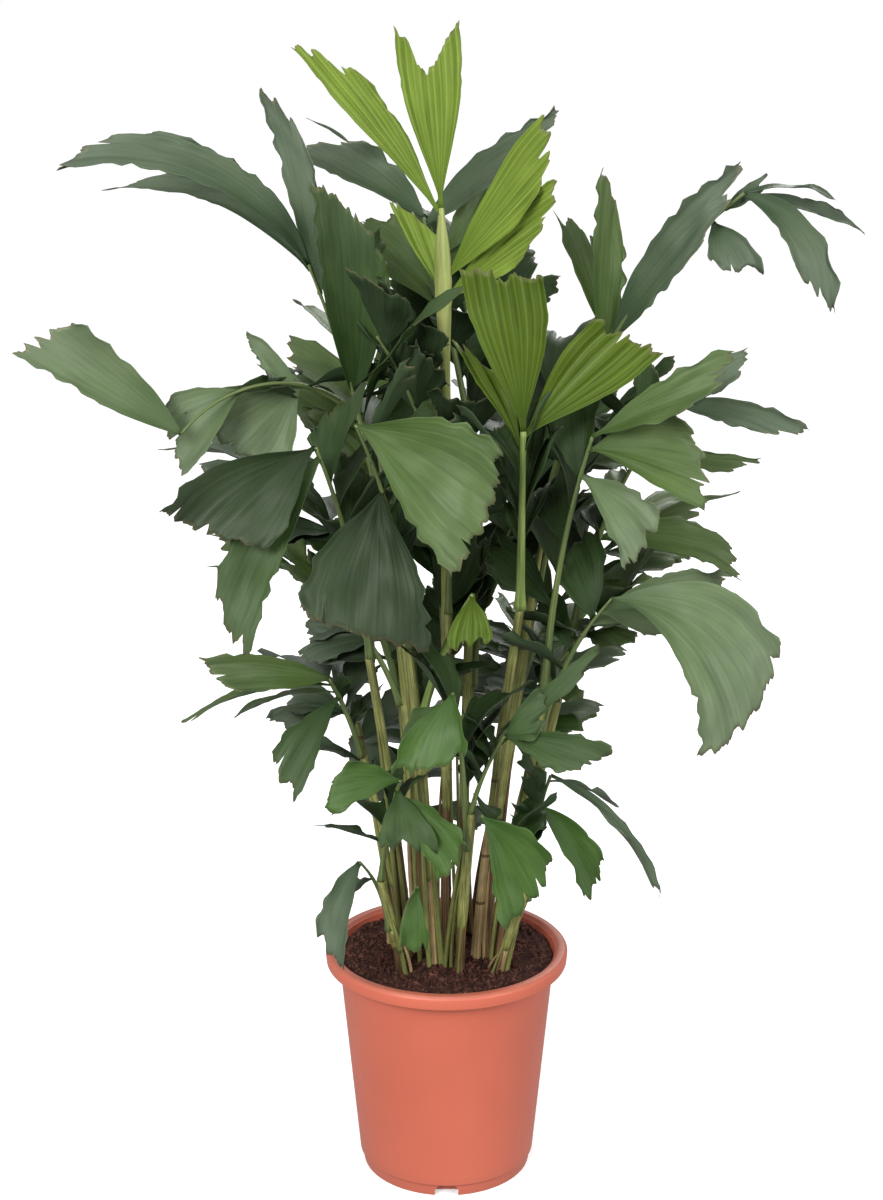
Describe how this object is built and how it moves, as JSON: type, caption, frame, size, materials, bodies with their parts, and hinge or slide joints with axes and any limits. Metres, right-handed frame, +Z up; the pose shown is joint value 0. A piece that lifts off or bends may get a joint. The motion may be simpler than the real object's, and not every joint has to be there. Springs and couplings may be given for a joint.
{
  "type": "potted clustering fishtail palm",
  "caption": "Clump of slender palm canes in a round nursery pot, with arching fronds of wedge-shaped, torn-ended leaflets.",
  "frame": {"origin": "middle of the pot's flat underside, on the surface that it stands on", "axes": "+Z up along the clump, +X to the plant's right and +Y away from its front as the picture shows it"},
  "size_m": [0.7909, 0.5842, 1.1128],
  "materials": {
    "pot_plastic": "satin injection-moulded plastic in terracotta colour",
    "potting_soil": "loose dark peat with bark bits",
    "cane_bark": "ringed fibrous cane, brown over straw and green",
    "mature_leaf": "leathery dark green leaf, slightly glossy",
    "young_leaf": "pleated yellow-green young leaf"
  },
  "bodies": {
    "root": {"pot": "pot_plastic", "soil": "potting_soil", "cane_01": "cane_bark", "cane_02": "cane_bark", "cane_03": "cane_bark", "cane_04": "cane_bark", "cane_05": "cane_bark", "cane_06": "cane_bark", "cane_07": "cane_bark", "cane_08": "cane_bark", "cane_09": "cane_bark", "cane_10": "cane_bark", "cane_11": "cane_bark", "cane_12": "cane_bark", "cane_13": "cane_bark", "cane_14": "cane_bark", "cane_15": "cane_bark", "frond_top": "young_leaf", "frond_young_front": "young_leaf", "frond_upper_left": "mature_leaf", "frond_behind_top": "mature_leaf", "frond_left": "mature_leaf", "frond_left_front": "mature_leaf", "frond_centre": "mature_leaf", "frond_upper_right": "mature_leaf", "frond_right": "mature_leaf", "frond_right_inner": "mature_leaf", "frond_right_low": "mature_leaf", "frond_left_low": "mature_leaf", "frond_low_right": "mature_leaf", "frond_low_centre": "mature_leaf", "frond_low_left": "mature_leaf", "frond_low_front": "mature_leaf", "frond_low_edge": "mature_leaf", "frond_foot_left": "mature_leaf", "frond_foot_centre": "mature_leaf", "frond_small_front": "young_leaf", "frond_rear_01": "mature_leaf", "frond_rear_02": "mature_leaf", "frond_rear_03": "mature_leaf", "frond_rear_04": "mature_leaf", "frond_rear_05": "mature_leaf", "frond_rear_06": "mature_leaf", "frond_rear_07": "mature_leaf", "frond_rear_08": "mature_leaf", "frond_inner_left": "mature_leaf", "frond_inner_right": "mature_leaf", "frond_inner_middle": "mature_leaf", "frond_inner_rear": "mature_leaf", "frond_inner_low": "mature_leaf", "frond_inner_front": "mature_leaf", "frond_inner_top": "mature_leaf", "frond_side_right": "mature_leaf", "frond_side_left": "mature_leaf", "frond_low_rear_right": "mature_leaf", "frond_low_rear_left": "mature_leaf", "frond_foot_rear": "mature_leaf"}
  },
  "joints": []
}
